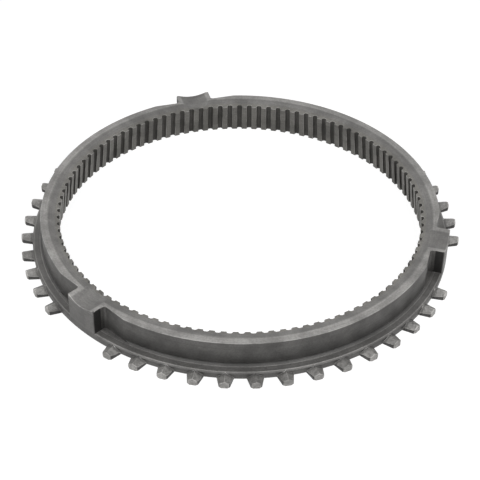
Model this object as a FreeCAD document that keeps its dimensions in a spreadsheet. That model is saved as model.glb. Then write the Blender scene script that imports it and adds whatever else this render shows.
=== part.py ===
"""Synchronizer ring of a truck gearbox: a steel ring with a grooved friction cone inside,
a flange with gabled coupling teeth round its foot, and three lugs that stand as high as the wall.

The origin is on the ring's axis at the underside, +Z runs up the axis, and one lug lies on +X.
"""

import FreeCAD, Part
import math
import os
import Sketcher

NODE = "synchronizer_ring"

# Driving dimensions, in millimetres, degrees and counts
SIZES = {
    "ring_height": (13.8, "underside to the top of the wall and of the lugs' rims"),
    "wall_radius": (78.0, "turned outside of the wall"),
    "wall_thickness": (5.9, "wall to the friction cone, at the underside"),
    "cone_angle": (7.0, "half angle of the friction cone, which widens downwards"),
    "flat_top_width": (2.9, "flat top, from the wall inwards"),
    "lead_in_drop": (1.3, "height of the sloping lead-in between the flat top and the cone"),
    "flange_overhang": (3.8, "flange and lugs past the wall"),
    "flange_height": (3.3, "thickness of the flange"),
    "flange_edge": (0.6, "chamfer of the flange's upper edge"),
    "bottom_edge": (0.5, "chamfer of the flange's lower edge"),
    "foot_edge": (0.8, "sloping corner at the foot of the wall"),
    "lug_count": (3, "lugs round the ring"),
    "lug_width": (14.2, "distance between a lug's parallel sides"),
    "lug_root_radius": (1.0, "rounding between a lug's side and the flat beside it"),
    "lug_corner_radius": (0.6, "rounding of a lug's upright outer corners"),
    "flat_depth": (1.95, "depth of the milled flats beside a lug, below the wall"),
    "dish_width": (12.0, "width of the hollow across a lug's top"),
    "dish_depth": (1.35, "depth of the hollow across a lug's top"),
    "tooth_positions": (48, "tooth pitches in a full turn"),
    "teeth_per_sector": (14, "teeth between two lugs"),
    "tooth_length": (4.5, "teeth past the flange"),
    "tooth_root_width": (6.0, "width of a tooth where it leaves the flange"),
    "tooth_tip_width": (3.7, "width of a tooth at its end face"),
    "tooth_corner": (0.6, "cut across a tooth's upright end corners, along each side"),
    "ridge_drop": (0.3, "ridge of a tooth's roof below the flange's top"),
    "roof_angle": (31.0, "slope of a tooth's roof from the horizontal"),
    "groove_count": (106, "oil grooves round the friction cone"),
    "groove_width": (2.05, "width of an oil groove"),
    "groove_depth": (1.2, "depth of an oil groove below the cone"),
    "groove_corner": (0.5, "cut across the corners of an oil groove's floor"),
}

# How far a joined form reaches into its neighbour, and how far a cutter runs past a surface
SEAT = 0.8
CLEAR = 1.0

# Two points or surfaces closer than this count as one
NEAR = 0.01


def size(name):
    """A driving dimension as a plain number."""
    return float(SIZES[name][0])


# Measures that follow from the driving dimensions, as formulas of the spreadsheet
FLANGE_RADIUS = "(Sizes.wall_radius + Sizes.flange_overhang)"
CONE_RADIUS = "(Sizes.wall_radius - Sizes.wall_thickness)"
CONE_SLOPE = "tan(Sizes.cone_angle * 1 deg)"
MOUTH_HEIGHT = "(Sizes.ring_height - Sizes.lead_in_drop)"
FLAT_DISTANCE = "(Sizes.wall_radius - Sizes.flat_depth)"
FLAT_REACH = f"sqrt((Sizes.wall_radius + Sizes.foot_edge) ^ 2 - {FLAT_DISTANCE} ^ 2)"
RIDGE_HEIGHT = "(Sizes.flange_height - Sizes.ridge_drop)"
ROOF_SLOPE = "tan(Sizes.roof_angle * 1 deg)"
TOOTH_PITCH = "(360 / Sizes.tooth_positions)"
TOOTH_TURN = f"(1.5 * {TOOTH_PITCH} * 1 deg)"

# The same measures as numbers, for the sketches' first points and for finding edges
flange_radius = size("wall_radius") + size("flange_overhang")
cone_radius = size("wall_radius") - size("wall_thickness")
cone_slope = math.tan(math.radians(size("cone_angle")))
mouth_height = size("ring_height") - size("lead_in_drop")
mouth_radius = cone_radius - cone_slope * mouth_height
flat_distance = size("wall_radius") - size("flat_depth")
flat_reach = math.sqrt((size("wall_radius") + size("foot_edge")) ** 2 - flat_distance**2)
ridge_height = size("flange_height") - size("ridge_drop")
roof_slope = math.tan(math.radians(size("roof_angle")))
tooth_turn = 1.5 * 360 / size("tooth_positions")


def make_sheet(doc):
    """The spreadsheet that holds every driving dimension."""
    sheet = doc.addObject("Spreadsheet::Sheet", "Sizes")
    for row, (name, (value, meaning)) in enumerate(SIZES.items(), start=1):
        sheet.set(f"A{row}", str(value))
        sheet.setAlias(f"A{row}", name)
        sheet.set(f"B{row}", meaning)
    doc.recompute()


def origin_feature(body, role):
    """A plane or an axis of the body's own origin."""
    return next(item for item in body.Origin.OriginFeatures if item.Role == role)


def new_sketch(body, plane, name):
    """An empty sketch on one of the body's origin planes."""
    sketch = body.newObject("Sketcher::SketchObject", name)
    sketch.AttachmentSupport = [(origin_feature(body, plane), "")]
    sketch.MapMode = "FlatFace"
    return sketch


def lift(sketch, formula):
    """Moves a sketch along its plane's normal."""
    sketch.setExpression("AttachmentOffset.Base.z", formula)


def point(x, y):
    """A point of a sketch."""
    return FreeCAD.Vector(x, y, 0)


def draw_outline(sketch, corners):
    """Straight edges joined end to end: edge k starts at corner k."""
    count = len(corners)
    for k in range(count):
        sketch.addGeometry(Part.LineSegment(point(*corners[k]), point(*corners[(k + 1) % count])))
    for k in range(count):
        sketch.addConstraint(Sketcher.Constraint("Coincident", k, 2, (k + 1) % count, 1))


def level(sketch, *edges):
    """Keeps edges along the sketch's first axis."""
    for edge in edges:
        sketch.addConstraint(Sketcher.Constraint("Horizontal", edge))


def upright(sketch, *edges):
    """Keeps edges along the sketch's second axis."""
    for edge in edges:
        sketch.addConstraint(Sketcher.Constraint("Vertical", edge))


def place(sketch, corner, x_formula=None, y_formula=None):
    """Ties a corner's distances from the sketch's origin to the spreadsheet."""
    for kind, formula in (("DistanceX", x_formula), ("DistanceY", y_formula)):
        if formula is not None:
            start = sketch.getPoint(corner, 1)
            value = start.x if kind == "DistanceX" else start.y
            index = sketch.addConstraint(Sketcher.Constraint(kind, -1, 1, corner, 1, value))
            sketch.setExpression(f"Constraints[{index}]", formula)


def turned_blank(body):
    """The ring's section, turned about the axis: cone, flange, wall, flat top and inner lead-in."""
    height = size("ring_height")
    wall = size("wall_radius")
    flange_top = size("flange_height")
    corners = [
        (cone_radius, 0),
        (flange_radius - size("bottom_edge"), 0),
        (flange_radius, size("bottom_edge")),
        (flange_radius, flange_top - size("flange_edge")),
        (flange_radius - size("flange_edge"), flange_top),
        (wall + size("foot_edge"), flange_top),
        (wall, flange_top + size("foot_edge")),
        (wall, height),
        (wall - size("flat_top_width"), height),
        (mouth_radius, mouth_height),
    ]
    sketch = new_sketch(body, "XZ_Plane", "ring_section")
    draw_outline(sketch, corners)
    level(sketch, 0, 4, 7)
    upright(sketch, 2, 6)
    place(sketch, 0, CONE_RADIUS, "0")
    place(sketch, 1, FLANGE_RADIUS + " - Sizes.bottom_edge")
    place(sketch, 2, FLANGE_RADIUS, "Sizes.bottom_edge")
    place(sketch, 3, None, "Sizes.flange_height - Sizes.flange_edge")
    place(sketch, 4, FLANGE_RADIUS + " - Sizes.flange_edge", "Sizes.flange_height")
    place(sketch, 5, "Sizes.wall_radius + Sizes.foot_edge")
    place(sketch, 6, "Sizes.wall_radius", "Sizes.flange_height + Sizes.foot_edge")
    place(sketch, 7, None, "Sizes.ring_height")
    place(sketch, 8, "Sizes.wall_radius - Sizes.flat_top_width")
    place(sketch, 9, f"{CONE_RADIUS} - {CONE_SLOPE} * {MOUTH_HEIGHT}", MOUTH_HEIGHT)
    blank = body.newObject("PartDesign::Revolution", "turned_blank")
    blank.Profile = sketch
    blank.ReferenceAxis = (sketch, ["V_Axis"])
    blank.Angle = 360


def flats(body):
    """The milled step beside the first lug: everything outside the flat, above the flange."""
    reach = flat_reach + CLEAR
    outside = flange_radius + CLEAR
    sketch = new_sketch(body, "XY_Plane", "flat_outline")
    lift(sketch, "Sizes.flange_height")
    draw_outline(sketch, [(flat_distance, -reach), (outside, -reach), (outside, reach), (flat_distance, reach)])
    level(sketch, 0, 2)
    upright(sketch, 1, 3)
    place(sketch, 0, FLAT_DISTANCE, f"-{FLAT_REACH} - {CLEAR}")
    place(sketch, 2, f"{FLANGE_RADIUS} + {CLEAR}", f"{FLAT_REACH} + {CLEAR}")
    cut = body.newObject("PartDesign::Pocket", "flats")
    cut.Profile = sketch
    cut.Reversed = True
    cut.setExpression("Length", "Sizes.ring_height")
    return cut


def lug(body):
    """The first lug: parallel sides and an outer face in line with the flange."""
    inside = flat_distance - SEAT
    half = size("lug_width") / 2
    corner = math.sqrt(flange_radius**2 - half**2)
    sketch = new_sketch(body, "XY_Plane", "lug_outline")
    lift(sketch, "Sizes.bottom_edge")
    sketch.addGeometry(Part.LineSegment(point(inside, half), point(inside, -half)))
    sketch.addGeometry(Part.LineSegment(point(inside, -half), point(corner, -half)))
    sketch.addGeometry(Part.Arc(point(corner, -half), point(flange_radius, 0), point(corner, half)))
    sketch.addGeometry(Part.LineSegment(point(corner, half), point(inside, half)))
    for k in range(4):
        sketch.addConstraint(Sketcher.Constraint("Coincident", k, 2, (k + 1) % 4, 1))
    sketch.addConstraint(Sketcher.Constraint("Coincident", 2, 3, -1, 1))
    level(sketch, 1, 3)
    upright(sketch, 0)
    index = sketch.addConstraint(Sketcher.Constraint("Radius", 2, flange_radius))
    sketch.setExpression(f"Constraints[{index}]", FLANGE_RADIUS)
    place(sketch, 0, f"{FLAT_DISTANCE} - {SEAT}", "Sizes.lug_width / 2")
    place(sketch, 1, None, "-Sizes.lug_width / 2")
    pad = body.newObject("PartDesign::Pad", "lug")
    pad.Profile = sketch
    pad.setExpression("Length", "Sizes.ring_height - Sizes.bottom_edge")
    return pad


def dish(body):
    """The shallow hollow across the first lug's top: an arc whose axis runs outwards."""
    half = size("dish_width") / 2
    depth = size("dish_depth")
    radius = (half**2 + depth**2) / (2 * depth)
    centre = size("ring_height") - depth + radius
    formula = "((Sizes.dish_width / 2) ^ 2 + Sizes.dish_depth ^ 2) / (2 * Sizes.dish_depth)"
    sketch = new_sketch(body, "YZ_Plane", "dish_outline")
    sketch.addGeometry(Part.Circle(point(0, centre), FreeCAD.Vector(0, 0, 1), radius))
    sketch.addConstraint(Sketcher.Constraint("PointOnObject", 0, 3, -2))
    index = sketch.addConstraint(Sketcher.Constraint("Radius", 0, radius))
    sketch.setExpression(f"Constraints[{index}]", formula)
    index = sketch.addConstraint(Sketcher.Constraint("DistanceY", -1, 1, 0, 3, centre))
    sketch.setExpression(f"Constraints[{index}]", f"Sizes.ring_height - Sizes.dish_depth + {formula}")
    cut = body.newObject("PartDesign::Pocket", "dish")
    cut.Profile = sketch
    cut.Reversed = True
    cut.setExpression("Length", f"{FLANGE_RADIUS} + {CLEAR}")
    return cut


def around(body, pattern, count_formula, angle_formula="360"):
    """Sets up a pattern about the ring's axis."""
    pattern.Axis = (origin_feature(body, "Z_Axis"), [""])
    pattern.setExpression("Occurrences", count_formula)
    pattern.setExpression("Angle", angle_formula)


def repeat(body, features, name, count_formula):
    """Copies features evenly round the ring."""
    pattern = body.newObject("PartDesign::PolarPattern", name)
    pattern.Originals = features
    around(body, pattern, count_formula)
    body.Tip = pattern


def turned_sketch(body, plane, name, axis):
    """A sketch that is turned about the ring's axis to face the first tooth beside the lug."""
    sketch = new_sketch(body, plane, name)
    sketch.AttachmentOffset = FreeCAD.Placement(FreeCAD.Vector(0, 0, 0), FreeCAD.Rotation(axis, tooth_turn))
    sketch.setExpression("AttachmentOffset.Rotation.Angle", TOOTH_TURN)
    return sketch


def tooth_block(body):
    """The first tooth as a block with a gabled roof, from inside the flange to the end face."""
    half = size("tooth_root_width") / 2
    eave = ridge_height - half * roof_slope
    eave_formula = f"{RIDGE_HEIGHT} - Sizes.tooth_root_width / 2 * {ROOF_SLOPE}"
    inside = flange_radius - SEAT
    sketch = turned_sketch(body, "YZ_Plane", "tooth_gable", FreeCAD.Vector(0, 1, 0))
    turn = sketch.AttachmentOffset.Rotation
    sketch.AttachmentOffset = FreeCAD.Placement(turn.multVec(FreeCAD.Vector(0, 0, inside)), turn)
    sketch.setExpression("AttachmentOffset.Base.x", f"({FLANGE_RADIUS} - {SEAT}) * sin({TOOTH_TURN})")
    sketch.setExpression("AttachmentOffset.Base.z", f"({FLANGE_RADIUS} - {SEAT}) * cos({TOOTH_TURN})")
    draw_outline(sketch, [(-half, 0), (half, 0), (half, eave), (0, ridge_height), (-half, eave)])
    level(sketch, 0)
    upright(sketch, 1, 4)
    place(sketch, 0, "-Sizes.tooth_root_width / 2", "0")
    place(sketch, 1, "Sizes.tooth_root_width / 2")
    place(sketch, 2, None, eave_formula)
    place(sketch, 3, "0", RIDGE_HEIGHT)
    place(sketch, 4, None, eave_formula)
    block = body.newObject("PartDesign::Pad", "tooth_block")
    block.Profile = sketch
    block.setExpression("Length", f"Sizes.tooth_length + {SEAT}")
    return block


def tooth_side(body, side, name):
    """What is cut from one side of the first tooth: it narrows, and its end corner is cut across."""
    root = size("tooth_root_width") / 2
    tip = size("tooth_tip_width") / 2
    corner = size("tooth_corner")
    start = math.sqrt(flange_radius**2 - root**2)
    end = flange_radius + size("tooth_length")
    slope = (root - tip) / (end - start)
    start_formula = f"sqrt({FLANGE_RADIUS} ^ 2 - (Sizes.tooth_root_width / 2) ^ 2)"
    end_formula = f"({FLANGE_RADIUS} + Sizes.tooth_length)"
    width_change = "(Sizes.tooth_root_width - Sizes.tooth_tip_width) / 2"
    slope_formula = f"{width_change} / ({end_formula} - {start_formula})"
    sign = "" if side > 0 else "-"
    # The cut across the corner runs on past the end face
    corners = [
        (start, side * root),
        (end - corner, side * (tip + corner * slope)),
        (end + CLEAR, side * (tip - corner - CLEAR * (1 + slope))),
        (end + CLEAR, side * (root + CLEAR)),
        (start, side * (root + CLEAR)),
    ]
    corner_y = f"(Sizes.tooth_tip_width / 2 + Sizes.tooth_corner * {slope_formula})"
    cross_y = f"(Sizes.tooth_tip_width / 2 - Sizes.tooth_corner - {CLEAR} * (1 + {slope_formula}))"
    outside_y = f"(Sizes.tooth_root_width / 2 + {CLEAR})"
    sketch = turned_sketch(body, "XY_Plane", name + "_outline", FreeCAD.Vector(0, 0, 1))
    lift(sketch, f"-{CLEAR}")
    draw_outline(sketch, corners)
    upright(sketch, 2, 4)
    level(sketch, 3)
    place(sketch, 0, start_formula, sign + "Sizes.tooth_root_width / 2")
    place(sketch, 1, f"{end_formula} - Sizes.tooth_corner", sign + corner_y)
    place(sketch, 2, f"{end_formula} + {CLEAR}", sign + cross_y)
    place(sketch, 3, None, sign + outside_y)
    cut = body.newObject("PartDesign::Pocket", name)
    cut.Profile = sketch
    cut.Reversed = True
    cut.setExpression("Length", f"Sizes.flange_height + 2 * {CLEAR}")
    return cut


def tooth_ring(body, first_tooth):
    """The teeth between two lugs, and the same again in each sector."""
    teeth = body.newObject("PartDesign::MultiTransform", "tooth_ring")
    teeth.Originals = first_tooth
    sector = body.newObject("PartDesign::PolarPattern", "tooth_sector")
    around(body, sector, "Sizes.teeth_per_sector", f"(Sizes.teeth_per_sector - 1) * {TOOTH_PITCH}")
    sectors = body.newObject("PartDesign::PolarPattern", "tooth_sectors")
    around(body, sectors, "Sizes.lug_count")
    teeth.Transformations = [sector, sectors]
    body.Tip = teeth


def groove(body):
    """The first oil groove: it runs up along the friction cone, and its floor's corners are cut across."""
    half = size("groove_width") / 2
    corner = size("groove_corner")
    inside = cone_radius - CLEAR
    floor = cone_radius + size("groove_depth") + cone_slope * CLEAR
    inside_formula = f"{CONE_RADIUS} - {CLEAR}"
    floor_formula = f"{CONE_RADIUS} + Sizes.groove_depth + {CLEAR} * {CONE_SLOPE}"
    sketch = new_sketch(body, "XY_Plane", "groove_outline")
    lift(sketch, f"-{CLEAR}")
    corners = [
        (inside, -half),
        (floor - corner, -half),
        (floor, corner - half),
        (floor, half - corner),
        (floor - corner, half),
        (inside, half),
    ]
    draw_outline(sketch, corners)
    level(sketch, 0, 4)
    upright(sketch, 2, 5)
    place(sketch, 0, inside_formula, "-Sizes.groove_width / 2")
    place(sketch, 1, floor_formula + " - Sizes.groove_corner")
    place(sketch, 2, floor_formula, "Sizes.groove_corner - Sizes.groove_width / 2")
    place(sketch, 3, None, "Sizes.groove_width / 2 - Sizes.groove_corner")
    place(sketch, 4, floor_formula + " - Sizes.groove_corner", "Sizes.groove_width / 2")
    cut = body.newObject("PartDesign::Pocket", "groove")
    cut.Profile = sketch
    cut.UseCustomVector = True
    cut.Direction = FreeCAD.Vector(-cone_slope, 0, 1)
    cut.setExpression("Direction.x", "-" + CONE_SLOPE)
    cut.AlongSketchNormal = True
    cut.setExpression("Length", f"Sizes.ring_height + 2 * {CLEAR}")
    return cut


def is_upright(edge):
    """True for a straight edge that runs along the ring's axis."""
    if not isinstance(edge.Curve, Part.Line):
        return False
    start = edge.Vertexes[0].Point
    end = edge.Vertexes[-1].Point
    return math.hypot(start.x - end.x, start.y - end.y) < NEAR


def middle_radius(edge):
    """Distance of an edge's middle from the ring's axis."""
    middle = edge.valueAt((edge.FirstParameter + edge.LastParameter) / 2)
    return math.hypot(middle.x, middle.y)


def upright_edges(shape, radius):
    """Names of the upright edges at a distance from the ring's axis."""
    return [
        f"Edge{number}"
        for number, edge in enumerate(shape.Edges, start=1)
        if is_upright(edge) and abs(middle_radius(edge) - radius) < NEAR
    ]


def round_edges(body, name, edges, radius_formula):
    """Rounds edges of the body as it stands."""
    base = body.Tip
    fillet = body.newObject("PartDesign::Fillet", name)
    fillet.Base = (base, edges)
    fillet.setExpression("Radius", radius_formula)
    body.Tip = fillet


def settle(doc, body, volume=None, grows=True):
    """Recomputes, and makes sure that the newest feature added or removed material."""
    doc.recompute()
    if volume is not None and (body.Shape.Volume > volume) != grows:
        raise RuntimeError(f"{body.Tip.Name} left the volume as it was")
    return body.Shape.Volume


def build_ring(doc):
    """The whole ring, feature by feature."""
    body = doc.addObject("PartDesign::Body", NODE)
    body.Label = NODE
    turned_blank(body)
    volume = settle(doc, body)
    step = flats(body)
    volume = settle(doc, body, volume, grows=False)
    block = lug(body)
    volume = settle(doc, body, volume)
    hollow = dish(body)
    volume = settle(doc, body, volume, grows=False)
    repeat(body, [step, block, hollow], "lug_ring", "Sizes.lug_count")
    volume = settle(doc, body, volume)
    lug_root = math.hypot(flat_distance, size("lug_width") / 2)
    round_edges(body, "lug_roots", upright_edges(body.Shape, lug_root), "Sizes.lug_root_radius")
    volume = settle(doc, body, volume)
    round_edges(body, "lug_corners", upright_edges(body.Shape, flange_radius), "Sizes.lug_corner_radius")
    volume = settle(doc, body, volume, grows=False)
    block = tooth_block(body)
    volume = settle(doc, body, volume)
    left = tooth_side(body, 1, "tooth_left_side")
    volume = settle(doc, body, volume, grows=False)
    right = tooth_side(body, -1, "tooth_right_side")
    volume = settle(doc, body, volume, grows=False)
    tooth_ring(body, [block, left, right])
    volume = settle(doc, body, volume)
    first_groove = groove(body)
    volume = settle(doc, body, volume, grows=False)
    repeat(body, [first_groove], "groove_ring", "Sizes.groove_count")
    settle(doc, body, volume, grows=False)
    return body


def check(doc, body):
    """Stops if a feature failed or the solid isn't whole."""
    failed = [item.Name for item in doc.Objects if "Invalid" in item.State or "Error" in item.State]
    if failed:
        raise RuntimeError(f"features that failed: {failed}")
    if body.Shape.isNull() or not body.Shape.isValid() or len(body.Shape.Solids) != 1:
        raise RuntimeError("the ring isn't one valid solid")


def main():
    doc = FreeCAD.newDocument("ring")
    make_sheet(doc)
    body = build_ring(doc)
    check(doc, body)
    os.makedirs("parts", exist_ok=True)
    body.Shape.exportStep(f"parts/{body.Label}.step")
    print(body.Label, "volume", round(body.Shape.Volume, 1), "faces", len(body.Shape.Faces))


main()
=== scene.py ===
"""Looks of the synchronizer ring: its bare steel, its worn edges and the plain stage it lies on.

The ring's forms come from the frame. A copy of the ring is merged, its edges are rounded, and it
takes the frame's place. Lengths are in metres and angles in radians, apart from the values whose
comment says millimetres or degrees.
"""

import math

import bmesh
import bpy
from mathutils import Matrix, Vector


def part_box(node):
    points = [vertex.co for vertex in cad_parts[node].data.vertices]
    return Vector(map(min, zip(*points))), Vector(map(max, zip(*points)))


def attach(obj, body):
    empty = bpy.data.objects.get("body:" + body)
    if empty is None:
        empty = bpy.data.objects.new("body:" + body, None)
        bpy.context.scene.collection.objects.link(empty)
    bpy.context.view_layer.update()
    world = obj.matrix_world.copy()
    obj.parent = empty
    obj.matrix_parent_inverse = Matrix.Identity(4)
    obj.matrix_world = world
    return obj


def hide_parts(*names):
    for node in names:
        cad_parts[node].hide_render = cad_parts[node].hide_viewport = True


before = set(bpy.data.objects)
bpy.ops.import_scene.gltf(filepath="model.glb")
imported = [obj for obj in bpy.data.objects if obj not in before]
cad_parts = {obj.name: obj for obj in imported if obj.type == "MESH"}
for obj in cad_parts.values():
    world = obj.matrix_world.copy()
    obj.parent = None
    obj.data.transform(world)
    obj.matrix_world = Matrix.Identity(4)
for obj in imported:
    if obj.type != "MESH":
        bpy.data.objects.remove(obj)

bl_info = {
    "name": "Synchronizer ring",
    "version": (1, 0, 0),
    "blender": (4, 5, 0),
    "location": "3D View > Sidebar > Ring",
    "description": "Dresses the synchronizer ring and sets its stage",
    "category": "Object",
}

RING = "synchronizer_ring"
RING_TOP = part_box(RING)[1].z
MM = 0.001

# A face counts as turned about the axis while its normal leans sideways by less than this sine
TURNED_LIMIT = 0.06

# A face counts as steep while its normal leans upwards or downwards by less than this sine
STEEP_LIMIT = 0.5

# Faces with more corners than this are cut into triangles before the edges are rounded
MOST_CORNERS = 4

# A rounded edge has this many faces across, which keep a material slot of their own until the
# wear and painted highlight along the edges are marked
EDGE_SEGMENTS = 2
ROUNDED_SLOT = 1

# Where the ring's faces lie, in millimetres from its axis and from its underside
CONE_RADIUS = 72.1
CONE_SLOPE = math.tan(math.radians(7.0))
CONE_TOP = 12.5
FLAT_TOP_RADIUS = 75.1
FLAT_DISTANCE = 76.05
WALL_RADIUS = 78.0
FOOT_EDGE = 0.8
FLANGE_TOP = 3.3
FLANGE_RADIUS = 81.8
TOOTH_END = 86.3
TOP = 13.8

# Corners of the flat top that are nearer to the axis than this, in millimetres, form its inner rim
RIM_RADIUS = FLAT_TOP_RADIUS + 0.1

# Zones of the steel: the distances from the axis and the heights between which each lies, in
# millimetres, a little past its faces so that the rounded edges belong to it
WALL = (FLAT_DISTANCE - 0.2, WALL_RADIUS + 0.2, FLANGE_TOP, TOP)
# Painted shade in the concave corner at the foot of the wall
FOOT_SHADE = (WALL_RADIUS, WALL_RADIUS + FOOT_EDGE, FLANGE_TOP + 0.12, FLANGE_TOP + FOOT_EDGE)
# Painted highlight: a bright line on the flange just outside the wall's foot
FOOT_HIGHLIGHT_LINE = (WALL_RADIUS + 0.85, WALL_RADIUS + 1.1, FLANGE_TOP - 0.2, FLANGE_TOP + 0.1)
FLANGE = (WALL_RADIUS + 0.9, FLANGE_RADIUS - 0.8, FLANGE_TOP - 0.2, FLANGE_TOP + 0.1)
# Painted highlight: a bright line along the flange's outer edge
FLANGE_EDGE_HIGHLIGHT = (FLANGE_RADIUS - 0.65, FLANGE_RADIUS - 0.4, FLANGE_TOP - 0.3, FLANGE_TOP + 0.1)
FLANGE_SIDE = (FLANGE_RADIUS - 0.35, FLANGE_RADIUS + 0.1, 0.2, FLANGE_TOP - 0.2)
LEAD_IN = (CONE_RADIUS - 3.0, FLAT_TOP_RADIUS - 0.1, CONE_TOP + 0.1, TOP - 0.15)
LUG_FACE = (FLANGE_RADIUS - 0.3, FLANGE_RADIUS + 0.5, FLANGE_TOP + 0.2, TOP + 0.5)
# Painted highlight along the lugs' outer top edges
LUG_RIM_HIGHLIGHT = (FLANGE_RADIUS - 0.45, FLANGE_RADIUS + 0.1, CONE_TOP - 0.25, TOP + 0.5)
# Painted shade on the lugs' steep sides, which are nearly black
LUG_SIDE = (WALL_RADIUS + 0.3, FLANGE_RADIUS - 0.2, FLANGE_TOP + 0.1, TOP + 0.5)

# How far the border of a zone blurs to each side, in millimetres
ZONE_SOFTNESS = 0.08
LUG_SIDE_SOFTNESS = 0.3

# The heights between which the grooves lie, in millimetres
GROOVE_HEIGHT = (0.1, CONE_TOP)

# Soft steps by height, in millimetres: where each starts and where it is complete
FLAT_TOP_HEIGHT = (TOP - 0.5, TOP - 0.1)
# Painted shade: the wall darkens from the first height down to the second
WALL_SHADE = (11.0, 4.5)

# Soft steps by the distance behind the cone's surface, in millimetres
GROOVE_START = (0.1, 0.5)
GROOVE_END = (1.6, 1.4)
BORE = (2.2, 1.8)

# Soft steps by the distance from the axis, in millimetres
FLAT_TOP_START = (FLAT_TOP_RADIUS - 0.5, FLAT_TOP_RADIUS + 0.5)
TOOTH_START = (FLANGE_RADIUS + 0.1, FLANGE_RADIUS + 0.4)
# Painted shade at the teeth's roots next to the flange
TOOTH_ROOT_SHADE = (FLANGE_RADIUS + 1.4, FLANGE_RADIUS + 0.3)
TOOTH_BODY = (TOOTH_END - 0.3, TOOTH_END - 0.5)
TOOTH_FRONT = (TOOTH_END - 0.5, TOOTH_END - 0.3)

# How bright the steel is beside plain steel, zone by zone; the tones marked below as painted stand
# in for light and shade
TOP_TONE = 1.76
WALL_TONE = 0.93
# Painted shade on the lower wall, darker towards the flange
WALL_SHADE_TONE = 0.55
# Painted shade at the foot of the wall
FOOT_SHADE_TONE = 0.5
# Painted highlight on the flange just outside the wall's foot
FOOT_HIGHLIGHT_TONE = 1.6
FLANGE_TONE = 0.84
# Painted highlight along the flange's outer edge
FLANGE_EDGE_HIGHLIGHT_TONE = 1.5
FLANGE_SIDE_TONE = 0.85
LEAD_IN_TONE = 1.06
GROOVE_TONE = 0.53
LUG_FACE_TONE = 1.2
# Painted highlight along the lugs' outer top edges
LUG_RIM_HIGHLIGHT_TONE = 1.3
# Painted shade on the lugs' steep sides
LUG_SIDE_SHADE_TONE = 0.15
ROOF_TONE = 1.76
TOOTH_FRONT_TONE = 2.92
TOOTH_SIDE_TONE = 0.52
# Painted shade at the teeth's roots
TOOTH_ROOT_SHADE_TONE = 0.5

# The noises in the steel, with their scale in waves per millimetre
NOISES = {
    "Grain": {"Scale": 1.5, "Detail": 3.0, "Roughness": 0.6},
    "Blotches": {"Scale": 0.12, "Detail": 4.0, "Roughness": 0.55},
    "Lines": {"Scale": 2.2, "Detail": 2.0},
    "Pits": {"Scale": 0.9, "Detail": 3.0, "Roughness": 0.65},
}

# The turning lines are the noise drawn out along the turning
LINE_STRETCH = (1.0, 0.02, 1.0)

# Noise this far from one half counts as fully dark or fully bright
NOISE_REACH = 0.2

# From where to where in the pits' noise a pit deepens, and in the blotches' an edge gets worn and
# gets its painted highlight
PIT_STEP = (0.52, 0.4)
WEAR_AND_HIGHLIGHT_STEP = (0.2, 0.7)

# How far the grain and the grooves change the roughness, and how high the relief is
GRAIN_ROUGHNESS = 0.1
GROOVE_ROUGHNESS = 0.15
RELIEF_HEIGHT = 0.05 * MM

# The places of a Mix node's sockets for colours, which share their names with others
MIX_SHARE, MIX_FIRST, MIX_SECOND, MIX_RESULT = 0, 6, 7, 2

# The lamps: the angle round from the picture's right-hand side and the angle above the floor, both
# in degrees, the distance from the ring in metres, and watts
LAMPS = {
    "left_back_lamp": (135, 35, 1.0, 1.28),
    "right_back_lamp": (45, 35, 1.0, 0.9),
    "back_top_lamp": (90, 65, 1.0, 0.45),
    "left_near_lamp": (225, 50, 0.4, 0.489),
    "right_near_lamp": (315, 50, 0.4, 0.53),
}

# The surrounding's strength to the camera
WHITE = 1.0

# The width of the picture behind the lens, in millimetres, and the nearest that the camera sees
PICTURE_WIDTH = 36.0
NEAREST = 0.01


class RingForm(bpy.types.PropertyGroup):
    """Sizes of the dressed ring's mesh."""

    merge_distance: bpy.props.FloatProperty(
        name="Merge distance", description="Corners closer than this become one",
        default=0.002 * MM, unit="LENGTH",
    )
    crease_angle: bpy.props.FloatProperty(
        name="Crease angle", description="Edges that turn more than this are rounded",
        default=math.radians(50), subtype="ANGLE",
    )
    smooth_angle: bpy.props.FloatProperty(
        name="Smooth angle", description="Facets of one curved face turn less than this",
        default=math.radians(28), subtype="ANGLE",
    )
    turn_step: bpy.props.FloatProperty(
        name="Turn step", description="Turned faces get a corner this often round the axis",
        default=math.radians(2), subtype="ANGLE",
    )
    edge_rounding: bpy.props.FloatProperty(
        name="Edge rounding", description="Width of a rounded edge",
        default=0.16 * MM, unit="LENGTH",
    )


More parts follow.
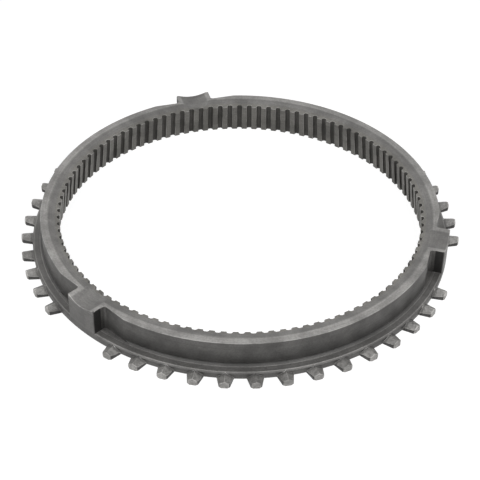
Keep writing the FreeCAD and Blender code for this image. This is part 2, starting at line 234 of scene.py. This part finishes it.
class SteelLook(bpy.types.PropertyGroup):
    """Colours and finish of the bare steel."""

    body_colour: bpy.props.FloatVectorProperty(
        name="Steel", description="Dull grey of the steel",
        default=(0.17, 0.166, 0.16), subtype="COLOR", size=3,
    )
    bore_colour: bpy.props.FloatVectorProperty(
        name="Bore", description="Steel of the bore, browner with oil",
        default=(0.172, 0.166, 0.153), subtype="COLOR", size=3,
    )
    # Bright edges: partly real wear and partly a painted highlight along the convex edges
    worn_and_highlight_colour: bpy.props.FloatVectorProperty(
        name="Worn edges", description="Brighter steel where edges are rubbed",
        default=(0.66, 0.65, 0.63), subtype="COLOR", size=3,
    )
    roughness: bpy.props.FloatProperty(
        name="Roughness", description="How matt the steel is", default=0.55, subtype="FACTOR"
    )
    metallic: bpy.props.FloatProperty(
        name="Metallic", description="How mirror-like its colour is", default=0.4, subtype="FACTOR"
    )
    blotches: bpy.props.FloatProperty(
        name="Blotches", description="Depth of the large blotches", default=0.22, subtype="FACTOR"
    )
    grain: bpy.props.FloatProperty(
        name="Grain", description="Depth of the fine grain", default=0.16, subtype="FACTOR"
    )
    lines: bpy.props.FloatProperty(
        name="Lines", description="Depth of the turning lines", default=0.07, subtype="FACTOR"
    )
    pits: bpy.props.FloatProperty(
        name="Pits", description="How dark the teeth's pits are", default=0.18, subtype="FACTOR"
    )
    pit_depth: bpy.props.FloatProperty(
        name="Pit depth", description="Depth of the pits beside the grain's", default=2.0
    )
    # How bright the worn edges and their painted highlight are
    wear_and_highlight: bpy.props.FloatProperty(
        name="Wear", description="How bright the worn edges are", default=0.7, subtype="FACTOR"
    )
    relief: bpy.props.FloatProperty(
        name="Relief", description="Strength of the grain's relief", default=0.5, subtype="FACTOR"
    )


class StageLook(bpy.types.PropertyGroup):
    """The camera, the lamps and the floor."""

    camera_distance: bpy.props.FloatProperty(
        name="Camera distance", description="From the ring's origin",
        default=531.23 * MM, unit="LENGTH",
    )
    camera_elevation: bpy.props.FloatProperty(
        name="Camera elevation", description="Above the floor",
        default=math.radians(39.558), subtype="ANGLE",
    )
    camera_azimuth: bpy.props.FloatProperty(
        name="Camera azimuth", description="Where the camera stands, from +X towards +Y",
        default=math.radians(-75.44), subtype="ANGLE",
    )
    camera_roll: bpy.props.FloatProperty(
        name="Camera roll", description="Tilt of the picture",
        default=math.radians(0.653), subtype="ANGLE",
    )
    camera_slide: bpy.props.FloatVectorProperty(
        name="Camera slide", description="Sideways and upwards in the picture's plane",
        default=(-0.0966 * MM, -3.0058 * MM), unit="LENGTH", size=2,
    )
    lens: bpy.props.FloatProperty(
        name="Lens", description="Focal length in millimetres", default=99.94, unit="CAMERA"
    )
    surrounding: bpy.props.FloatProperty(
        name="Surrounding", description="Strength of the light from all round", default=0.0
    )
    floor_white: bpy.props.FloatProperty(
        name="Floor to the camera", description="Strength of the floor's own white", default=0.9
    )
    floor_glow: bpy.props.FloatProperty(
        name="Floor as light", description="Strength of the light from the floor", default=0.0
    )
    floor_colour: bpy.props.FloatVectorProperty(
        name="Floor", description="Grey of the floor",
        default=(0.3, 0.3, 0.3), subtype="COLOR", size=3,
    )
    floor_size: bpy.props.FloatProperty(
        name="Floor size", description="Side of the floor", default=6.0, unit="LENGTH"
    )
    floor_gap: bpy.props.FloatProperty(
        name="Floor gap", description="How far below the underside the floor lies",
        default=0.02 * MM, unit="LENGTH",
    )
    lamp_size: bpy.props.FloatProperty(
        name="Lamp size", description="Width of a lamp, as a share of its distance",
        default=0.45, subtype="FACTOR",
    )


class RING_OT_dress(bpy.types.Operator):
    """Dresses the ring: merges a copy of it, rounds its edges and gives it its steel"""

    bl_idname = "ring.dress"
    bl_label = "Dress the ring"

    def execute(self, context):
        form = context.scene.ring_form
        piece = merged_copy(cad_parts[RING], form.merge_distance)
        refine_turned(piece, form)
        mark_creases(piece, form.crease_angle)
        # The second slot holds the same steel and tells the rounded faces from the others
        material = steel(context.scene.steel_look)
        piece.data.materials.clear()
        piece.data.materials.append(material)
        piece.data.materials.append(material)
        round_edges(piece, form.edge_rounding)
        set_normals(piece, form)
        mark_wear_and_highlight(piece, form.edge_rounding)
        mark_steep(piece)
        piece.data.materials.pop(index=ROUNDED_SLOT)
        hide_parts(RING)
        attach(piece, "root")
        return {"FINISHED"}


def choose(piece):
    """Selects this object alone and makes it the active one."""
    bpy.ops.object.select_all(action="DESELECT")
    piece.select_set(True)
    bpy.context.view_layer.objects.active = piece


def merged_copy(solid, distance):
    """A copy of the frame's ring with its loose triangles joined at their corners."""
    choose(solid)
    bpy.ops.object.duplicate()
    piece = bpy.context.view_layer.objects.active
    piece.name = "ring_body"
    piece.parent = None
    piece.matrix_world = Matrix.Identity(4)
    choose(piece)
    bpy.ops.object.mode_set(mode="EDIT")
    bpy.ops.mesh.select_all(action="SELECT")
    bpy.ops.mesh.remove_doubles(threshold=distance)
    bpy.ops.object.mode_set(mode="OBJECT")
    return piece


def refine_turned(piece, form):
    """Cuts the turned faces at even steps round the axis and moves the cuts to their circles."""
    mesh = bmesh.new()
    mesh.from_mesh(piece.data)
    turned = mesh.faces.layers.int.new("turned")
    for face in mesh.faces:
        centre = face.calc_center_median()
        is_turned = turned_normal(face.normal, centre, centre) is not None
        face[turned] = int(is_turned and face_span(face) > form.turn_step)
    steps = round(math.pi / form.turn_step)
    for step in range(steps):
        angle = (step + 0.5) * math.pi / steps
        across = Vector((-math.sin(angle), math.cos(angle), 0))
        faces = [face for face in mesh.faces if face[turned]]
        edges = {edge for face in faces for edge in face.edges}
        corners = {corner for face in faces for corner in face.verts}
        cut = bmesh.ops.bisect_plane(
            mesh, geom=[*faces, *edges, *corners], dist=form.merge_distance,
            plane_co=(0, 0, 0), plane_no=across,
        )
        for corner in cut["geom_cut"]:
            if isinstance(corner, bmesh.types.BMVert):
                move_to_circle(corner, across, form.merge_distance)
    wide = [face for face in mesh.faces if len(face.verts) > MOST_CORNERS]
    bmesh.ops.triangulate(mesh, faces=wide)
    mesh.faces.layers.int.remove(turned)
    mesh.to_mesh(piece.data)
    mesh.free()


def face_span(face):
    """The angle that a face covers, seen from the axis."""
    middle = face.calc_center_median()
    start = math.atan2(middle.y, middle.x)
    turns = [
        (math.atan2(corner.co.y, corner.co.x) - start + math.pi) % (2 * math.pi) - math.pi
        for corner in face.verts
    ]
    return max(turns) - min(turns)


def off_line(point, start, end):
    """How far a point lies from the line through two others."""
    return (point - start).cross(point - end).length / (end - start).length


def move_to_circle(corner, across, tolerance):
    """Moves a corner of a cut outwards, from the chord between its neighbours to their circle.

    A corner that lies on no such chord stays where it is.
    """
    ends = [
        edge.other_vert(corner).co for edge in corner.link_edges
        if abs(edge.other_vert(corner).co.dot(across)) > tolerance
    ]
    pairs = [(a, b) for a in ends for b in ends if a.dot(across) < 0 < b.dot(across)]
    if not pairs:
        return
    first, second = min(pairs, key=lambda pair: off_line(corner.co, *pair))
    if off_line(corner.co, first, second) > tolerance:
        return
    share = (corner.co - first).length / (second - first).length
    radius = first.xy.length * (1 - share) + second.xy.length * share
    corner.co.xy = corner.co.xy * (radius / corner.co.xy.length)


def mark_creases(piece, crease_angle):
    """Gives the edges that turn sharply a full bevel weight and all others none."""
    mesh = bmesh.new()
    mesh.from_mesh(piece.data)
    layers = mesh.edges.layers.float
    weight = layers.get("bevel_weight_edge") or layers.new("bevel_weight_edge")
    for edge in mesh.edges:
        turns = len(edge.link_faces) == 2 and edge.calc_face_angle() > crease_angle
        edge[weight] = 1.0 if turns else 0.0
    mesh.to_mesh(piece.data)
    mesh.free()


def round_edges(piece, width):
    """Rounds the edges that have a bevel weight."""
    bevel = piece.modifiers.new("edge rounding", "BEVEL")
    bevel.limit_method = "WEIGHT"
    bevel.width = width
    bevel.segments = EDGE_SEGMENTS
    bevel.use_clamp_overlap = False
    bevel.material = ROUNDED_SLOT
    choose(piece)
    bpy.ops.object.modifier_apply(modifier=bevel.name)


def turned_normal(normal, centre, corner):
    """The normal of a turned face at one of its corners, or none where the face isn't turned."""
    outwards = Vector((centre.x, centre.y, 0)).normalized()
    sideways = Vector((-outwards.y, outwards.x, 0))
    across = normal.dot(outwards)
    if abs(normal.dot(sideways)) > TURNED_LIMIT or abs(across) < TURNED_LIMIT:
        return None
    at_corner = Vector((corner.x, corner.y, 0)).normalized()
    return (at_corner * across + Vector((0, 0, normal.z))).normalized()


def mixed(faces):
    """The sum of some faces' normals, each as long as its face's area is large."""
    return sum((normal * area for normal, area, *_ in faces), Vector())


def set_normals(piece, form):
    """Flat faces stay flat, turned faces are smooth, and rounded edges run from one to the other.

    At the inner rim of the flat top the normals of both sides are mixed, which makes the turn soft.
    """
    mesh = piece.data
    soft_rim = {
        corner.index for corner in mesh.vertices
        if RING_TOP - corner.co.z < form.merge_distance and corner.co.xy.length < RIM_RADIUS * MM
    }
    plain = [[] for _ in mesh.vertices]
    rounded = [[] for _ in mesh.vertices]
    smooth = {}
    for face in mesh.polygons:
        for corner in face.vertices:
            if face.material_index == ROUNDED_SLOT:
                rounded[corner].append((face.normal.copy(), face.area))
                continue
            own = turned_normal(face.normal, face.center, mesh.vertices[corner].co)
            smooth[face.index, corner] = own
            plain[corner].append((own or face.normal.copy(), face.area, own is not None))
    limit = math.cos(form.smooth_angle)
    normals = []
    for face in mesh.polygons:
        for corner in face.vertices:
            if face.material_index == ROUNDED_SLOT or corner in soft_rim:
                normal = mixed(plain[corner] or rounded[corner])
            elif smooth[face.index, corner] is not None:
                normal = smooth[face.index, corner]
            else:
                normal = mixed(
                    near for near in plain[corner]
                    if not near[2] and near[0].dot(face.normal) > limit
                )
            normals.append(normal.normalized())
    for face in mesh.polygons:
        face.use_smooth = True
    mesh.normals_split_custom_set(normals)


def mark_wear_and_highlight(piece, edge_rounding):
    """Writes how worn each corner is, which also places a painted highlight: one along the middle
    of the edges that are rounded outwards, zero elsewhere.
    """
    mesh = piece.data
    bulge = [0.0] * len(mesh.vertices)
    for edge in mesh.edges:
        first, second = (mesh.vertices[corner] for corner in edge.vertices)
        if (second.co - first.co).length < edge_rounding:
            bulge[first.index] += (first.co - second.co).dot(first.normal)
            bulge[second.index] += (second.co - first.co).dot(second.normal)
    worn_and_lit = [float(height > 0) for height in bulge]
    for face in mesh.polygons:
        if face.material_index != ROUNDED_SLOT:
            for corner in face.vertices:
                worn_and_lit[corner] = 0.0
        face.material_index = 0
    mesh.attributes.new("wear_and_highlight", "FLOAT", "POINT").data.foreach_set("value", worn_and_lit)


def mark_steep(piece):
    """Writes which faces stand steeply: one for those and zero for the others."""
    steep = [float(abs(face.normal.z) < STEEP_LIMIT) for face in piece.data.polygons]
    piece.data.attributes.new("steep", "FLOAT", "FACE").data.foreach_set("value", steep)


def add_node(tree, kind, sockets=(), **settings):
    """Adds a node; each of its sockets takes a value or another node's output."""
    node = tree.nodes.new(kind)
    for name, value in settings.items():
        setattr(node, name, value)
    for socket, value in dict(sockets).items():
        if isinstance(value, bpy.types.NodeSocket):
            tree.links.new(value, node.inputs[socket])
        else:
            node.inputs[socket].default_value = value
    return node


def calculate(tree, operation, *values):
    """The result of a sum on values or other nodes' outputs."""
    return add_node(tree, "ShaderNodeMath", enumerate(values), operation=operation).outputs[0]


def on_vectors(tree, operation, sockets):
    """The result of a sum on vectors."""
    return add_node(tree, "ShaderNodeVectorMath", sockets, operation=operation).outputs[0]


def rise(tree, value, start, end):
    """A soft step from zero at the start to one at the end."""
    sockets = {"Value": value, "From Min": start, "From Max": end}
    node = add_node(tree, "ShaderNodeMapRange", sockets, interpolation_type="SMOOTHSTEP")
    return node.outputs["Result"]


def between(tree, value, low, high, softness=ZONE_SOFTNESS):
    """One between two limits and zero outside them."""
    above = rise(tree, value, low - softness, low + softness)
    below = rise(tree, value, high + softness, high - softness)
    return calculate(tree, "MULTIPLY", above, below)


def mix_colours(tree, share, first, second):
    """The first colour where the share is zero and the second where it is one."""
    sockets = {MIX_SHARE: share, MIX_FIRST: first, MIX_SECOND: second}
    return add_node(tree, "ShaderNodeMix", sockets, data_type="RGBA").outputs[MIX_RESULT]


def new_group(name, inputs, outputs):
    """An empty node group with its sockets, its input node and its output node."""
    group = bpy.data.node_groups.new(name, "ShaderNodeTree")
    for direction, sockets in (("INPUT", inputs), ("OUTPUT", outputs)):
        for socket, kind in sockets.items():
            group.interface.new_socket(name=socket, in_out=direction, socket_type=kind)
    return group, group.nodes.new("NodeGroupInput"), group.nodes.new("NodeGroupOutput")


def put_out(group, out, results):
    """Links each result to the group's output of that name."""
    for socket, value in results.items():
        group.links.new(value, out.inputs[socket])


def use_group(tree, group, sockets=()):
    """Places a node group in a node tree and gives its outputs."""
    return add_node(tree, "ShaderNodeGroup", sockets, node_tree=group).outputs


def ring_places():
    """Distance from the axis, height above the underside and place along the turning, in mm."""
    outputs = {
        "Place": "NodeSocketVector", "Turning": "NodeSocketVector",
        "Distance": "NodeSocketFloat", "Height": "NodeSocketFloat",
    }
    group, _, out = new_group("Ring places", {}, outputs)
    here = group.nodes.new("ShaderNodeTexCoord").outputs["Object"]
    place = on_vectors(group, "SCALE", {0: here, "Scale": 1 / MM})
    x, y, height = add_node(group, "ShaderNodeSeparateXYZ", {0: place}).outputs
    level = add_node(group, "ShaderNodeCombineXYZ", {"X": x, "Y": y}).outputs[0]
    length = add_node(group, "ShaderNodeVectorMath", {0: level}, operation="LENGTH")
    distance = length.outputs["Value"]
    along = calculate(group, "MULTIPLY", calculate(group, "ARCTAN2", y, x), WALL_RADIUS)
    sockets = {"X": distance, "Y": along, "Z": height}
    turning = add_node(group, "ShaderNodeCombineXYZ", sockets).outputs[0]
    put_out(
        group, out, {"Place": place, "Turning": turning, "Distance": distance, "Height": height}
    )
    return group


def steel_marks():
    """Grain and blotches of the steel, its turning lines and its pits, each one half on average."""
    inputs = {"Place": "NodeSocketVector", "Turning": "NodeSocketVector"}
    outputs = {name: "NodeSocketFloat" for name in NOISES}
    group, given, out = new_group("Steel marks", inputs, outputs)
    place = given.outputs["Place"]
    drawn_out = on_vectors(group, "MULTIPLY", {0: given.outputs["Turning"], 1: LINE_STRETCH})
    for name, sockets in NOISES.items():
        vector = drawn_out if name == "Lines" else place
        noise = add_node(group, "ShaderNodeTexNoise", {"Vector": vector, **sockets}).outputs["Fac"]
        mark = rise(group, noise, 0.5 - NOISE_REACH, 0.5 + NOISE_REACH)
        put_out(group, out, {name: mark})
    return group


def ring_tone():
    """How bright each face of the ring is beside plain steel, and the masks of grooves, teeth and
    bore. Where zones overlap, their tones multiply. Some tones are painted shade, on the lower
    wall, at its foot, on the lugs' sides and at the teeth's roots, and some are painted highlights,
    along the flange's edges and the lugs' outer rims.
    """
    inputs = {name: "NodeSocketFloat" for name in ("Distance", "Height", "Steep")}
    outputs = {name: "NodeSocketFloat" for name in ("Tone", "Groove", "Tooth", "Bore")}
    group, given, out = new_group("Ring tone", inputs, outputs)
    distance = given.outputs["Distance"]
    height = given.outputs["Height"]
    steep = given.outputs["Steep"]

    def both(first, second):
        return calculate(group, "MULTIPLY", first, second)

    def zone(inner, outer, low, high, softness=ZONE_SOFTNESS):
        ring = between(group, distance, inner, outer, softness)
        return both(ring, between(group, height, low, high))

    cone = calculate(group, "MULTIPLY_ADD", height, -CONE_SLOPE, CONE_RADIUS)
    behind = calculate(group, "SUBTRACT", distance, cone)
    deep = both(rise(group, behind, *GROOVE_START), rise(group, behind, *GROOVE_END))
    groove = both(deep, between(group, height, *GROOVE_HEIGHT))
    on_top = rise(group, height, *FLAT_TOP_HEIGHT)
    flat_top = both(rise(group, distance, *FLAT_TOP_START), on_top)
    wall = zone(*WALL)
    tooth = rise(group, distance, *TOOTH_START)
    # Painted shade at the teeth's roots next to the flange
    tooth_root_shade = both(tooth, rise(group, distance, *TOOTH_ROOT_SHADE))
    tooth_body = both(tooth, rise(group, distance, *TOOTH_BODY))
    tones = (
        (flat_top, TOP_TONE),
        (zone(*LUG_FACE), LUG_FACE_TONE),
        # Painted shade on the lugs' steep sides
        (both(zone(*LUG_SIDE, LUG_SIDE_SOFTNESS), steep), LUG_SIDE_SHADE_TONE),
        # Painted highlight along the lugs' outer top edges
        (zone(*LUG_RIM_HIGHLIGHT), LUG_RIM_HIGHLIGHT_TONE),
        (wall, WALL_TONE),
        # Painted shade on the lower wall, darker towards the flange
        (both(wall, rise(group, height, *WALL_SHADE)), WALL_SHADE_TONE),
        # Painted shade at the foot of the wall
        (zone(*FOOT_SHADE), FOOT_SHADE_TONE),
        # Painted highlight on the flange just outside the wall's foot
        (zone(*FOOT_HIGHLIGHT_LINE), FOOT_HIGHLIGHT_TONE),
        # Painted highlight along the flange's outer edge
        (zone(*FLANGE_EDGE_HIGHLIGHT), FLANGE_EDGE_HIGHLIGHT_TONE),
        (zone(*FLANGE_SIDE), FLANGE_SIDE_TONE),
        (zone(*FLANGE), FLANGE_TONE),
        (zone(*LEAD_IN), LEAD_IN_TONE),
        (groove, GROOVE_TONE),
        (tooth, ROOF_TONE),
        (rise(group, distance, *TOOTH_FRONT), TOOTH_FRONT_TONE / ROOF_TONE),
        (both(tooth_body, steep), TOOTH_SIDE_TONE / ROOF_TONE),
        # Painted shade at the teeth's roots
        (tooth_root_shade, TOOTH_ROOT_SHADE_TONE),
    )
    tone = 1.0
    for mask, brightness in tones:
        tone = both(calculate(group, "MULTIPLY_ADD", mask, brightness - 1, 1.0), tone)
    bore = rise(group, behind, *BORE)
    put_out(group, out, {"Tone": tone, "Groove": groove, "Tooth": tooth, "Bore": bore})
    return group


def varied(tree, tone, mark, amount):
    """The tone made brighter and darker by a mark that is one half on average."""
    factor = calculate(tree, "MULTIPLY_ADD", mark, 2 * amount, 1 - amount)
    return calculate(tree, "MULTIPLY", tone, factor)


def steel(look):
    """The ring's steel: dull and grainy, with worn edges that carry a painted highlight, darker
    grooves and pitted teeth, and zone tones that paint shade and highlights.
    """
    material = bpy.data.materials.new("bare_steel")
    material.use_nodes = True
    tree = material.node_tree
    shader = tree.nodes["Principled BSDF"]
    steep = add_node(tree, "ShaderNodeAttribute", attribute_name="steep").outputs["Fac"]
    wear_and_highlight = add_node(tree, "ShaderNodeAttribute", attribute_name="wear_and_highlight").outputs["Fac"]
    places = use_group(tree, ring_places())
    marks = use_group(
        tree, steel_marks(), {"Place": places["Place"], "Turning": places["Turning"]}
    )
    zones = use_group(
        tree, ring_tone(),
        {"Distance": places["Distance"], "Height": places["Height"], "Steep": steep},
    )
    tone = varied(tree, zones["Tone"], marks["Blotches"], look.blotches)
    tone = varied(tree, tone, marks["Grain"], look.grain)
    tone = varied(tree, tone, marks["Lines"], look.lines)
    pitted = calculate(tree, "MULTIPLY", zones["Tooth"], rise(tree, marks["Pits"], *PIT_STEP))
    darkening = calculate(tree, "MULTIPLY_ADD", pitted, -look.pits, 1.0)
    tone = calculate(tree, "MULTIPLY", tone, darkening)
    dull = mix_colours(tree, zones["Bore"], (*look.body_colour, 1), (*look.bore_colour, 1))
    body = on_vectors(tree, "SCALE", {0: dull, "Scale": tone})
    # Worn edges, partly real wear and partly a painted highlight along the convex edges
    rubbed_and_lit = calculate(tree, "MULTIPLY", wear_and_highlight, rise(tree, marks["Blotches"], *WEAR_AND_HIGHLIGHT_STEP))
    worn_and_lit = calculate(tree, "MULTIPLY", rubbed_and_lit, look.wear_and_highlight)
    colour = mix_colours(tree, worn_and_lit, body, (*look.worn_and_highlight_colour, 1))
    tree.links.new(colour, shader.inputs["Base Color"])
    shader.inputs["Metallic"].default_value = look.metallic
    smoothest = look.roughness - GRAIN_ROUGHNESS
    rough = calculate(tree, "MULTIPLY_ADD", marks["Grain"], 2 * GRAIN_ROUGHNESS, smoothest)
    rough = calculate(tree, "MULTIPLY_ADD", zones["Groove"], GROOVE_ROUGHNESS, rough)
    tree.links.new(rough, shader.inputs["Roughness"])
    relief = calculate(tree, "MULTIPLY_ADD", pitted, -look.pit_depth, marks["Grain"])
    sockets = {"Height": relief, "Strength": look.relief, "Distance": RELIEF_HEIGHT}
    bump = add_node(tree, "ShaderNodeBump", sockets)
    tree.links.new(bump.outputs["Normal"], shader.inputs["Normal"])
    return material


class RING_OT_stage(bpy.types.Operator):
    """Sets the floor, the lamps, the world and the camera"""

    bl_idname = "ring.stage"
    bl_label = "Set the stage"

    def execute(self, context):
        look = context.scene.stage_look
        add_floor(look)
        add_world(look)
        add_lamps(look)
        add_camera(look)
        context.scene.view_settings.view_transform = "Standard"
        return {"FINISHED"}


def by_ray(tree, seen, as_light):
    """One strength for what the camera sees, also by way of the steel, and another as light."""
    path = tree.nodes.new("ShaderNodeLightPath").outputs
    mirrored = calculate(tree, "MAXIMUM", path["Is Glossy Ray"], path["Is Transmission Ray"])
    sight = calculate(tree, "MAXIMUM", path["Is Camera Ray"], mirrored)
    sockets = {"Value": sight, "To Min": as_light, "To Max": seen}
    return add_node(tree, "ShaderNodeMapRange", sockets).outputs["Result"]


def add_floor(look):
    """A pale floor just below the ring: white to the camera but for the ring's shadow."""
    bpy.ops.mesh.primitive_plane_add(size=look.floor_size, location=(0, 0, -look.floor_gap))
    floor = bpy.context.object
    floor.name = "floor"
    material = bpy.data.materials.new("floor")
    material.use_nodes = True
    tree = material.node_tree
    tree.nodes.remove(tree.nodes["Principled BSDF"])
    diffuse = add_node(tree, "ShaderNodeBsdfDiffuse", {"Color": (*look.floor_colour, 1)})
    strength = by_ray(tree, look.floor_white, look.floor_glow)
    glow = add_node(tree, "ShaderNodeEmission", {"Strength": strength})
    both = add_node(tree, "ShaderNodeAddShader", {0: diffuse.outputs[0], 1: glow.outputs[0]})
    tree.links.new(both.outputs[0], tree.nodes["Material Output"].inputs["Surface"])
    floor.data.materials.append(material)


def add_world(look):
    """A surrounding that is white to the camera and gives the light that its setting says."""
    world = bpy.data.worlds.new("studio")
    bpy.context.scene.world = world
    world.use_nodes = True
    background = world.node_tree.nodes["Background"]
    background.inputs["Color"].default_value = (1, 1, 1, 1)
    strength = by_ray(world.node_tree, WHITE, look.surrounding)
    world.node_tree.links.new(strength, background.inputs["Strength"])


def add_lamps(look):
    """Soft round lamps about the ring, each aimed at its middle."""
    for name, (side, height, distance, watts) in LAMPS.items():
        turn = look.camera_azimuth + math.radians(90 + side)
        lift = math.radians(height)
        level = math.cos(lift)
        aim = Vector((math.cos(turn) * level, math.sin(turn) * level, math.sin(lift)))
        bpy.ops.object.light_add(type="AREA", location=aim * distance)
        lamp = bpy.context.object
        lamp.name = name
        lamp.data.shape = "DISK"
        lamp.data.size = look.lamp_size * distance
        lamp.data.energy = watts
        lamp.rotation_euler = (-aim).to_track_quat("-Z", "Y").to_euler()


def add_camera(look):
    """The camera at the photograph's place and angle."""
    elevation = look.camera_elevation
    azimuth = look.camera_azimuth
    roll = look.camera_roll
    level_out = Vector((math.cos(azimuth), math.sin(azimuth), 0))
    backward = level_out * math.cos(elevation) + Vector((0, 0, math.sin(elevation)))
    right = Vector((0, 0, 1)).cross(backward).normalized()
    upward = backward.cross(right)
    turned_right = right * math.cos(roll) + upward * math.sin(roll)
    turned_up = upward * math.cos(roll) - right * math.sin(roll)
    sideways, upwards = look.camera_slide
    place = backward * look.camera_distance + turned_right * sideways + turned_up * upwards
    bpy.ops.object.camera_add(location=place)
    camera = bpy.context.object
    camera.name = "camera"
    axes = Matrix((turned_right, turned_up, backward)).transposed()
    camera.rotation_euler = axes.to_euler()
    camera.data.sensor_width = PICTURE_WIDTH
    camera.data.lens = look.lens
    camera.data.clip_start = NEAREST
    bpy.context.scene.camera = camera


class RING_PT_panel(bpy.types.Panel):
    """Lists the ring's operators"""

    bl_idname = "RING_PT_panel"
    bl_label = "Synchronizer ring"
    bl_space_type = "VIEW_3D"
    bl_region_type = "UI"
    bl_category = "Ring"

    def draw(self, context):
        for operator in (RING_OT_dress, RING_OT_stage):
            self.layout.operator(operator.bl_idname)


CLASSES = (RingForm, SteelLook, StageLook, RING_OT_dress, RING_OT_stage, RING_PT_panel)


def register():
    """Makes the operators and settings known."""
    for item in CLASSES:
        bpy.utils.register_class(item)
    bpy.types.Scene.ring_form = bpy.props.PointerProperty(type=RingForm)
    bpy.types.Scene.steel_look = bpy.props.PointerProperty(type=SteelLook)
    bpy.types.Scene.stage_look = bpy.props.PointerProperty(type=StageLook)


def unregister():
    """Takes them out again."""
    del bpy.types.Scene.stage_look
    del bpy.types.Scene.steel_look
    del bpy.types.Scene.ring_form
    for item in reversed(CLASSES):
        bpy.utils.unregister_class(item)


def main():
    """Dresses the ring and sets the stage."""
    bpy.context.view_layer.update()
    register()
    bpy.ops.ring.dress()
    bpy.ops.ring.stage()


if __name__ == "__main__":
    main()
